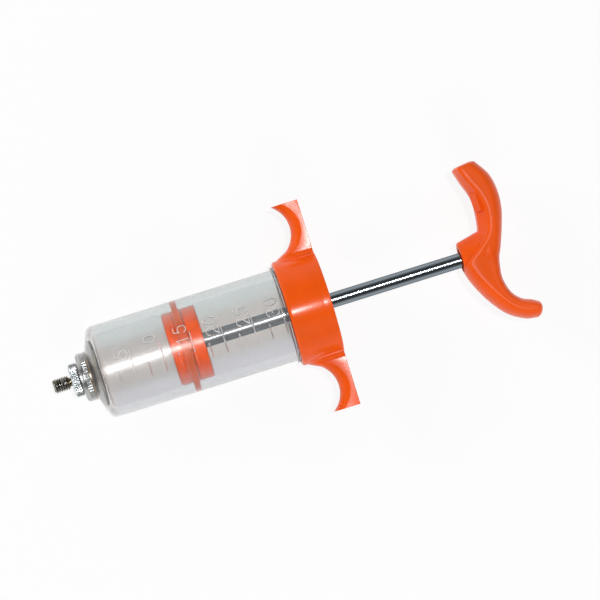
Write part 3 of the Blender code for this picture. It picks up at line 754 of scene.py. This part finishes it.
class SYRINGE_OT_connector(bpy.types.Operator):
    """Turns the tip connector with its threads, neck and knurled head"""
    bl_idname = "syringe.connector"
    bl_label = "Tip connector"

    def execute(self, context):
        sizes, colours = settings(context)
        teeth = sizes.head_teeth
        tip_back, head_front, head_back = -11.4, -10.5, -7.5
        tip_root, shank_root, neck, bore = 1.95, 2.9, 1.5, 1.0
        shank_end = head_back + 3.5
        stem = turned("tip_connector_turned", [
            (TIP_END, bore), (TIP_END, tip_root - 0.2),
            *along(TIP_END + 0.15, tip_back - 0.05, tip_root, TIP_PITCH / 14),
            (tip_back, neck), (head_front + 0.3, neck),
            (head_front + 0.3, 1.3), (head_back - 0.3, 1.3),
            (head_back - 0.3, shank_root),
            *along(head_back + 0.1, shank_end, shank_root, 0.1),
            (shank_end, 1.75), (PILOT_END - 0.35, 1.75),
            (PILOT_END - 0.35, 2.15), (PILOT_END, 2.15),
            (PILOT_END, bore),
        ], 72)
        wind_thread(stem, TIP_END + 0.15, tip_back - 0.05, tip_root, 0.48, TIP_PITCH)
        wind_thread(stem, head_back + 0.1, shank_end, shank_root, 0.4, SHANK_PITCH)
        head = turned("head", [
            (head_front, 1.2), (head_front, HEAD_RADIUS - 0.75),
            (head_front + 0.12, HEAD_RADIUS - 0.45), (head_front + 0.45, HEAD_RADIUS),
            *along(head_front + 0.5, head_back - 0.5, HEAD_RADIUS, 0.5),
            (head_back - 0.45, HEAD_RADIUS), (head_back - 0.12, HEAD_RADIUS - 0.45),
            (head_back, HEAD_RADIUS - 0.75), (head_back, 1.2),
        ], teeth * 12)
        knurl(head, head_front + 0.05, head_back - 0.05, HEAD_RADIUS - 0.5, sizes.knurl_depth / MM, teeth)
        combine(stem, head, "UNION")
        # The dark bronze below a 2.6 mm radius paints shade into the tip thread's valleys and the neck
        finish = metal("connector_plating", colours.nickel, colours.bronze, 0.0026, 0.0003, 0.25)
        take_over(stem, "tip_connector", finish, 40)
        dress("connector_seal", moulded("nose_ring_rubber", colours.black, 0.55, grain=0.00002))
        return {"FINISHED"}


class SYRINGE_OT_piston(bpy.types.Operator):
    """Turns the two discs of the piston and its seal, and gives the metal inside it a finish"""
    bl_idname = "syringe.piston"
    bl_label = "Piston"

    def execute(self, context):
        sizes, colours = settings(context)
        disc_back = DISC_FRONT + 3.4
        nose = DISC_FRONT + 1.6
        hub = 7.8
        rod_hole = 2.0
        socket = PISTON_BUSH_RADIUS + SEAT_GAP
        front = turned("front_disc", rounded([
            (DISC_FRONT, 0, 0),
            (DISC_FRONT, DISC_RADIUS, 0.9),
            (disc_back, DISC_RADIUS, 0.15),
            (disc_back, hub, 0),
            (HUB_BACK, hub, 0.1),
            (HUB_BACK, socket, 0),
            (nose, socket, 0),
            (nose, 0, 0),
        ]), 192)
        orange = moulded("piston_orange", colours.orange, 0.22, Specular_IOR_Level=0.2)
        take_over(front, "piston_front", orange)
        rear = turned("rear_disc", rounded([
            (REAR_FRONT, rod_hole, 0),
            (REAR_FRONT, REAR_RADIUS, 0.15),
            (REAR_BACK, REAR_RADIUS, 0.35),
            (REAR_BACK, WASHER_RADIUS + SEAT_GAP, 0.1),
            (WASHER_FRONT - SEAT_GAP, WASHER_RADIUS + SEAT_GAP, 0),
            (WASHER_FRONT - SEAT_GAP, rod_hole, 0),
            (REAR_FRONT, rod_hole, 0),
        ])[:-1], 192)
        take_over(rear, "piston_rear", orange)
        band = BORE_RADIUS + sizes.seal_bite / MM
        band_width, lip = 1.8, 0.36
        inset = (SEAL_BACK - SEAL_FRONT - band_width) / 2
        seal = turned("seal_ring", rounded([
            (SEAL_FRONT, hub + SEAT_GAP, 0),
            (SEAL_FRONT, band - lip, 0.1),
            (SEAL_FRONT + inset, band, 0.15),
            (SEAL_BACK - inset, band, 0.15),
            (SEAL_BACK, band - lip, 0.1),
            (SEAL_BACK, hub + SEAT_GAP, 0),
        ]), 192)
        rubber = moulded("seal_rubber", colours.seal, 0.4, Specular_IOR_Level=0.3, Subsurface_Weight=0.3,
                         Subsurface_Radius=(0.6, 0.2, 0.1), Subsurface_Scale=0.001)
        take_over(seal, "piston_seal", rubber)
        dress("piston_insert", metal("bush_brass", colours.brass, colours.brass, 0.0032, 0.0005, 0.3))
        dress("rod_washer", metal("washer_steel", colours.steel, colours.steel, 0.0047, 0.001, 0.25))
        return {"FINISHED"}


class SYRINGE_OT_rod(bpy.types.Operator):
    """Turns the polished rod"""
    bl_idname = "syringe.rod"
    bl_label = "Rod"

    def execute(self, context):
        colours = context.scene.syringe_colours
        rod_start, rod_end = REAR_BACK, BUSH_FRONT - 0.2
        end_radius, end_edge, edge = 1.9, 0.3, 0.15
        rod = turned("polished_rod", [
            (ROD_TIP, 0), (ROD_TIP, end_radius - end_edge),
            (ROD_TIP + end_edge, end_radius), (rod_start, end_radius),
            (rod_start, ROD_RADIUS - edge), (rod_start + edge, ROD_RADIUS),
            *along(rod_start + 0.2, rod_end - 0.2, ROD_RADIUS, 8),
            (rod_end - edge, ROD_RADIUS), (rod_end, ROD_RADIUS - edge),
            (rod_end, end_radius), (ROD_TAIL - end_edge, end_radius),
            (ROD_TAIL, end_radius - end_edge), (ROD_TAIL, 0),
        ], 128)
        steel = metal("rod_steel", colours.steel, colours.steel, 0.0025, 0.001, 0.2, 0.005, 0.0,
                      Specular_Tint=(0.3, 0.3, 0.32, 1))
        take_over(rod, "rod", steel)
        return {"FINISHED"}


# Cap and wings

SADDLE_RADIUS = 9.4
SADDLE_FROM_DEG = -52.0
SADDLE_TO_DEG = 56.0
WING_HALF = 4.25
WING_ROUND = 3.5
WING_CREST = 20.5
WING_FILLET = 1.6
WING_BACK_ROUND = 0.3
TAPER_TO_CAP = 0.011
TAPER_TO_TIP = 0.0014
CAP_DRAFT = 0.65
BACK_LAND = 2.4
SADDLE_Y = CAP_RADIUS + SADDLE_RADIUS


def section(front, back, half_height, front_depth, back_depth):
    """A ring between two edge points, rounded over its full height at both edges."""
    front, back = Vector((*front, 0)), Vector((*back, 0))
    inward = (back - front).normalized()
    turns = [math.pi / 2 * i / 10 for i in range(11)]

    def edge(start, way, depth, a):
        return start + way * (depth * (1 - math.cos(a))) + Vector((0, 0, half_height * math.sin(a)))

    near = [edge(front, inward, front_depth, a) for a in turns]
    far = [edge(back, -inward, back_depth, a) for a in reversed(turns)]
    return both_halves(near + far)


def wing_front(y):
    """Where the wing's front edge lies: the saddle's arc, then a slope down to the cap's rim."""
    arc_end = SADDLE_Y + SADDLE_RADIUS * math.sin(math.radians(SADDLE_FROM_DEG))
    if y >= arc_end:
        return CAP_FRONT + math.sqrt(max(0, SADDLE_RADIUS**2 - (y - SADDLE_Y) ** 2))
    arc_x = CAP_FRONT + SADDLE_RADIUS * math.cos(math.radians(SADDLE_FROM_DEG))
    rim_y = CAP_RADIUS - 0.8
    share = max(0, (y - rim_y) / (arc_end - rim_y))
    return CAP_FRONT + 0.3 + (arc_x - CAP_FRONT - 0.3) * share


def wing(side):
    """One finger wing, as rings across it from inside the cap's wall out to the tip."""
    swing = SADDLE_TO_DEG - SADDLE_FROM_DEG
    arc = [
        SADDLE_Y + SADDLE_RADIUS * math.sin(math.radians(SADDLE_FROM_DEG + swing * i / 40))
        for i in range(41)
    ]
    root = CAP_RADIUS - 1.2 - WING_FILLET / 2
    near = [root + (arc[0] - root) * i / 16 for i in range(16)]
    rings = []
    for y in near + arc:
        flare = min(1, max(0, (CAP_RADIUS + WING_FILLET / 2 - y) / WING_FILLET))
        taper = (y - WING_CREST) ** 2 * (TAPER_TO_TIP if y > WING_CREST else TAPER_TO_CAP)
        half = WING_HALF - taper + WING_FILLET * (1 - math.sqrt(1 - flare**2))
        back = (CAP_BACK - 0.02, side * y)
        rings.append(section((wing_front(y), side * y), back, half, WING_ROUND, WING_BACK_ROUND))
    return lofted("wing", rings)


class SYRINGE_OT_cap(bpy.types.Operator):
    """Turns the screw cap, joins its two finger wings and cuts its thread"""
    bl_idname = "syringe.cap"
    bl_label = "Winged cap"

    def execute(self, context):
        colours = context.scene.syringe_colours
        cap = turned("winged_cap", rounded([
            (CAP_FRONT, 0, 0),
            (CAP_FRONT, CAP_RADIUS, 0.9),
            (CAP_BACK - BACK_LAND, CAP_RADIUS - CAP_DRAFT, 0.3),
            (CAP_BACK, CAP_RADIUS - CAP_DRAFT, 0.35),
            (CAP_BACK, 0, 0),
        ], 8), 256)
        for side in (1, -1):
            combine(cap, wing(side), "UNION")
        wide = BARREL_RADIUS + 0.4
        rod_hole = ROD_RADIUS + 0.3
        thread_start, thread_end = CAP_FRONT + 0.55, BARREL_BACK - 0.1
        inner = GUIDE_BACK + SEAT_GAP
        bore = turned("cap_bore", [
            (CAP_FRONT - 1, 0), (CAP_FRONT - 1, wide + 0.9),
            (CAP_FRONT, wide + 0.9), (CAP_FRONT + 0.5, wide + 0.4),
            *along(thread_start, thread_end, wide, 0.25),
            (inner, wide), (inner, rod_hole),
            (CAP_BACK - 0.4, rod_hole), (CAP_BACK + 0.1, rod_hole + 0.5),
            (CAP_BACK + 1, rod_hole + 0.5), (CAP_BACK + 1, 0),
        ], 192)
        wind_thread(bore, thread_start, thread_end, wide, 0.7, BARREL_PITCH, FULL_START)
        combine(cap, bore, "DIFFERENCE")
        orange = moulded("cap_orange", colours.orange, 0.2, rubbed=0.06, grain=0.00001,
                         Specular_IOR_Level=0.2)
        take_over(cap, "cap", orange, 30)
        guide = turned("guide_washer", rounded([
            (GUIDE_FRONT, ROD_RADIUS + 0.15, 0),
            (GUIDE_FRONT, GUIDE_RADIUS, 0.15),
            (GUIDE_BACK, GUIDE_RADIUS, 0.15),
            (GUIDE_BACK, ROD_RADIUS + 0.15, 0),
        ]), 128)
        take_over(guide, "rod_guide", moulded("guide_nylon", colours.nylon, 0.45))
        return {"FINISHED"}


# Handle. Each section has its front edge, its back edge and the crest's depth, from the top end to the tip

HANDLE_FRONT = 123.124
RECESS_FLOOR = 126.224
BOSS_DEPTH = 9.5
HANDLE_SLOPE = 0.1
HANDLE_TOP = HANDLE_HALF - 0.12
CREST_WIDTH = 1.2
STRIP_FOOT = 0.3 * HANDLE_HALF
STRIP_HEAD = HANDLE_HALF - 0.35
HANDLE_SECTIONS = [
    (6.0, 28.4, 14.0, 29.4, 1.0),
    (7.3, 24.0, 17.1, 24.4, 1.4),
    (9.0, 18.6, 18.2, 18.6, 2.2),
    (9.0, 12.6, 17.8, 12.6, 2.9),
    (7.4, 5.8, 15.9, 6.2, 2.7),
    (2.6, 1.4, 13.6, 0.2, 2.2),
    (-0.2, -1.2, 12.4, -2.4, 1.6),
    (-0.2, -4.2, 11.7, -5.2, 1.8),
    (1.4, -9.2, 11.2, -9.6, 2.4),
    (4.9, -15.8, 12.5, -14.6, 2.4),
    (9.4, -21.4, 15.2, -17.7, 2.0),
    (14.6, -24.6, 18.3, -19.1, 2.0),
    (17.9, -25.3, 20.0, -20.1, 2.0),
]


def handle_ring(front, back, crest, crested, back_depth):
    """A ring of the handle: its front strip and crest or a plain round front, a crowned top, a round back."""
    front, back = Vector(front), Vector(back)
    width = (back - front).length
    inward = (back - front).normalized()
    strip = rounded([
        (0, 0, 0),
        (0, STRIP_FOOT, 0.8),
        (crest, STRIP_HEAD, 0.7),
        (crest + CREST_WIDTH, HANDLE_TOP, 0),
    ], 8)
    upper = []
    for i, (reach, rise) in enumerate(strip):
        a = math.pi / 2 * i / (len(strip) - 1)
        plain = Vector(((crest + CREST_WIDTH) * (1 - math.cos(a)), HANDLE_TOP * math.sin(a)))
        upper.append(plain.lerp((reach, rise), crested))
    level = upper[-1].x
    rest = width - back_depth - level
    drop = HANDLE_SLOPE * rest
    for k in range(1, 6):
        share = k / 6
        eased = share**2 * (3 - 2 * share)
        fall = eased + (share - eased) * crested
        upper.append(Vector((level + rest * share, HANDLE_TOP - drop * fall)))
    for i in range(12, -1, -1):
        a = math.pi / 2 * i / 12
        upper.append(Vector((width - back_depth * (1 - math.cos(a)), (HANDLE_TOP - drop) * math.sin(a))))
    return both_halves([Vector((*(front + inward * reach), rise)) for reach, rise in upper])


# The pad's rings across it: where each lies along the handle, and how far it stands out
PAD_RINGS = ((13.4, 0.3), (13.6, 0.6), (16.0, 0.65), (18.0, 0.6), (19.9, 0.7), (20.1, 0.4))


def handle_pad():
    """The plain raised pad on the handle's front strip."""
    foot = Vector((HANDLE_FRONT + 9.0, STRIP_FOOT))
    up = Vector((2.3, STRIP_HEAD - STRIP_FOOT)).normalized()
    out = Vector((-up.y, up.x))
    rings = []
    for y, rise in PAD_RINGS:
        corners = ((0.3, -0.8), (0.4, rise - 0.2), (0.6, rise), (4.4, rise), (4.6, rise - 0.2), (4.7, -0.8))
        places = [foot + up * share + out * lift for share, lift in corners]
        rings.append([Vector((place.x, y, place.y)) for place in places])
    return lofted("pad", rings)


def cap_rings(ring, outward, depth, shares):
    """Rings that round off the end of a loft, each further out by its share of the depth and drawn in."""
    centre = sum(ring, Vector()) / len(ring)
    return [
        [centre + (point - centre) * math.sqrt(1 - share**2) + outward * depth * share for point in ring]
        for share in shares
    ]


class SYRINGE_OT_handle(bpy.types.Operator):
    """Lofts the palm handle, joins its boss and bores the recess for the rod"""
    bl_idname = "syringe.handle"
    bl_label = "Palm handle"

    def execute(self, context):
        colours = context.scene.syringe_colours
        rings = []
        for front_x, front_y, back_x, back_y, crest in smooth_path(HANDLE_SECTIONS, 8):
            front = (HANDLE_FRONT + front_x, front_y)
            back = (HANDLE_FRONT + back_x, back_y)
            crested = min(1, max(0, (front_y + 4.0) / 4.0))
            back_round = 2.2 + 1.3 * min(1, max(0, (front_y + 3.0) / 12.0))
            rings.append(handle_ring(front, back, crest, crested, back_round))
        outward = []
        for ring, inner in ((rings[0], rings[1]), (rings[-1], rings[-2])):
            edge = ring[0] - ring[len(ring) // 2]
            square = Vector((-edge.y, edge.x, 0)).normalized()
            away = sum(ring, Vector()) - sum(inner, Vector())
            outward.append(square if square.dot(away) > 0 else -square)
        shares = [math.sin(math.pi / 2 * i / 9) for i in range(1, 9)]
        top = cap_rings(rings[0], outward[0], 1.3, [0.75 * share for share in shares])
        tip = cap_rings(rings[-1], outward[1], 1.9, shares)
        handle = lofted("palm_handle", top[::-1] + rings + tip)
        boss = turned("boss", rounded([
            (HANDLE_FRONT, 0, 0),
            (HANDLE_FRONT, 5.7, 0.8),
            (HANDLE_FRONT + BOSS_DEPTH, 7.9, 0),
            (HANDLE_FRONT + BOSS_DEPTH, 0, 0),
        ]), 128)
        combine(handle, boss, "UNION")
        combine(handle, handle_pad(), "UNION")
        hole, wide, edge = BUSH_RADIUS + SEAT_GAP, 3.9, 0.3
        recess = turned("rod_recess", [
            (HANDLE_FRONT - 2, 0), (HANDLE_FRONT - 2, wide + edge),
            (HANDLE_FRONT, wide + edge), (HANDLE_FRONT + edge, wide),
            (RECESS_FLOOR, wide), (RECESS_FLOOR, hole),
            (BUSH_BACK + SEAT_GAP, hole), (BUSH_BACK + SEAT_GAP, 0),
        ], 96)
        combine(handle, recess, "DIFFERENCE")
        orange = moulded("handle_orange", colours.orange, 0.32, rubbed=0.08, Specular_IOR_Level=0.15)
        take_over(handle, "handle", orange, 40)
        dress("handle_insert", bpy.data.materials["bush_brass"])
        return {"FINISHED"}


# Stage

TARGET = Vector((4.9, 3.25, 0)) * MM
CAMERA_DISTANCE = 1.0
CAMERA_TILT = math.radians(3.0)
CAMERA_ROLL = math.radians(17.3)
CAMERA_LENS = 183
FLASH_PLACE = Vector((0.230, 0.087, 4.0))
FLOOR_WHITE = 0.88


def white_where_seen(nodes, shader, out, share):
    """Shows a surface as plain white to the camera and in reflections, and keeps part of its shading."""
    path = nodes.add("ShaderNodeLightPath").outputs
    seen = nodes.maths("MAXIMUM", path["Is Camera Ray"], path["Is Glossy Ray"])
    seen = nodes.maths("MAXIMUM", seen, path["Is Transmission Ray"])
    glow = nodes.add("ShaderNodeEmission", Color=(1, 1, 1), Strength=1.0)
    nodes.either(nodes.maths("MULTIPLY", seen, share), shader, glow, out)


def make_floor(colours):
    clear_selection()
    bpy.ops.mesh.primitive_plane_add(size=6)
    floor = named("pale_floor")
    edit_all()
    bpy.ops.transform.translate(value=(0, 0, CAD_BOX[0].z - 0.1 * MM))
    bpy.ops.object.mode_set(mode="OBJECT")
    made, nodes, shader, out = new_finish("floor_paper")
    put_on(nodes, shader, "moulded_skin", moulded_group,
           bumped=False, Colour=colours.floor, Roughness=0.8, Drift=0.004, Rubbed=0.0, Grain=0.00001)
    set_plain(shader, {"Specular IOR Level": 0.1})
    white_where_seen(nodes, shader, out, FLOOR_WHITE)
    floor.data.materials.append(made)


def make_world():
    world = bpy.data.worlds.new("soft_room")
    bpy.context.scene.world = world
    world.use_nodes = True
    nodes = Nodes(world.node_tree)
    background = world.node_tree.nodes["Background"]
    place = nodes.add("ShaderNodeTexCoord").outputs["Generated"]
    parts = nodes.add("ShaderNodeSeparateXYZ", Vector=place)
    tone = nodes.spread(parts.outputs["Z"], 0.1, 0.65, 0.95, 0.06)
    nodes.plug(background.inputs["Color"], tone)
    background.inputs["Strength"].default_value = 1.0


def camera_axes():
    """The camera's own axes: a little to the nose side, and rolled as the photo is."""
    back = Vector((-math.sin(CAMERA_TILT), 0, math.cos(CAMERA_TILT)))
    along_x = Vector((math.cos(CAMERA_TILT), 0, math.sin(CAMERA_TILT)))
    across_y = Vector((0, 1, 0))
    right = along_x * math.cos(CAMERA_ROLL) - across_y * math.sin(CAMERA_ROLL)
    up = along_x * math.sin(CAMERA_ROLL) + across_y * math.cos(CAMERA_ROLL)
    return right, up, back


def make_lamp(name, place, size, power, tint, mirrored=False):
    """A round area lamp, which glossy and clear pieces show or not."""
    bpy.ops.object.light_add(type="AREA", location=place)
    lamp = named(name)
    lamp.visible_glossy = lamp.visible_transmission = mirrored
    lamp.rotation_euler = (TARGET - place).to_track_quat("-Z", "Y").to_euler()
    lamp.data.shape = "DISK"
    lamp.data.size = size
    lamp.data.energy = power
    lamp.data.color = tint


class SYRINGE_OT_stage(bpy.types.Operator):
    """Lays the pale floor, lights the room and sets the camera at the photo's angle"""
    bl_idname = "syringe.stage"
    bl_label = "Floor, light and camera"

    def execute(self, context):
        make_floor(context.scene.syringe_colours)
        make_world()
        right, up, back = camera_axes()
        turn = Matrix((right, up, back)).transposed()
        clear_selection()
        bpy.ops.object.camera_add()
        camera = bpy.context.object
        camera.name = "photo_camera"
        camera.matrix_world = Matrix.Translation(TARGET + back * CAMERA_DISTANCE) @ turn.to_4x4()
        camera.data.sensor_width = 36
        camera.data.lens = CAMERA_LENS
        context.scene.camera = camera
        make_lamp("flash", FLASH_PLACE, 0.1, 66.0, (0.99, 0.99, 1.0), mirrored=True)
        warm = TARGET + up * 0.45 - right * 0.85 + back * 0.6
        make_lamp("warm_softbox", warm, 0.5, 4.4, (1.0, 0.98, 0.94))
        cool = TARGET - up * 0.75 + right * 0.2 + back * 0.8
        make_lamp("cool_softbox", cool, 0.6, 3.4, (0.95, 0.95, 1.0))
        context.scene.view_settings.view_transform = "Standard"
        return {"FINISHED"}


# Panel and start

OPERATORS = (
    SYRINGE_OT_barrel,
    SYRINGE_OT_insert,
    SYRINGE_OT_connector,
    SYRINGE_OT_piston,
    SYRINGE_OT_rod,
    SYRINGE_OT_cap,
    SYRINGE_OT_handle,
    SYRINGE_OT_stage,
)


class SYRINGE_PT_panel(bpy.types.Panel):
    """Lists the sizes, the colours and the steps"""
    bl_idname = "SYRINGE_PT_panel"
    bl_label = "Dosing syringe"
    bl_space_type = "VIEW_3D"
    bl_region_type = "UI"
    bl_category = "Syringe"

    def draw(self, context):
        for values in (context.scene.syringe_sizes, context.scene.syringe_colours):
            box = self.layout.box()
            for name in values.__annotations__:
                box.prop(values, name)
        for operator in OPERATORS:
            self.layout.operator(operator.bl_idname)


CLASSES = (SyringeSizes, SyringeColours, *OPERATORS, SYRINGE_PT_panel)


def register():
    for made in CLASSES:
        bpy.utils.register_class(made)
    bpy.types.Scene.syringe_sizes = PointerProperty(type=SyringeSizes)
    bpy.types.Scene.syringe_colours = PointerProperty(type=SyringeColours)


def unregister():
    del bpy.types.Scene.syringe_sizes
    del bpy.types.Scene.syringe_colours
    for made in reversed(CLASSES):
        bpy.utils.unregister_class(made)


def main():
    register()
    bpy.ops.syringe.barrel()
    bpy.ops.syringe.insert()
    bpy.ops.syringe.connector()
    bpy.ops.syringe.piston()
    bpy.ops.syringe.rod()
    bpy.ops.syringe.cap()
    bpy.ops.syringe.handle()
    bpy.ops.syringe.stage()


if __name__ == "__main__":
    main()
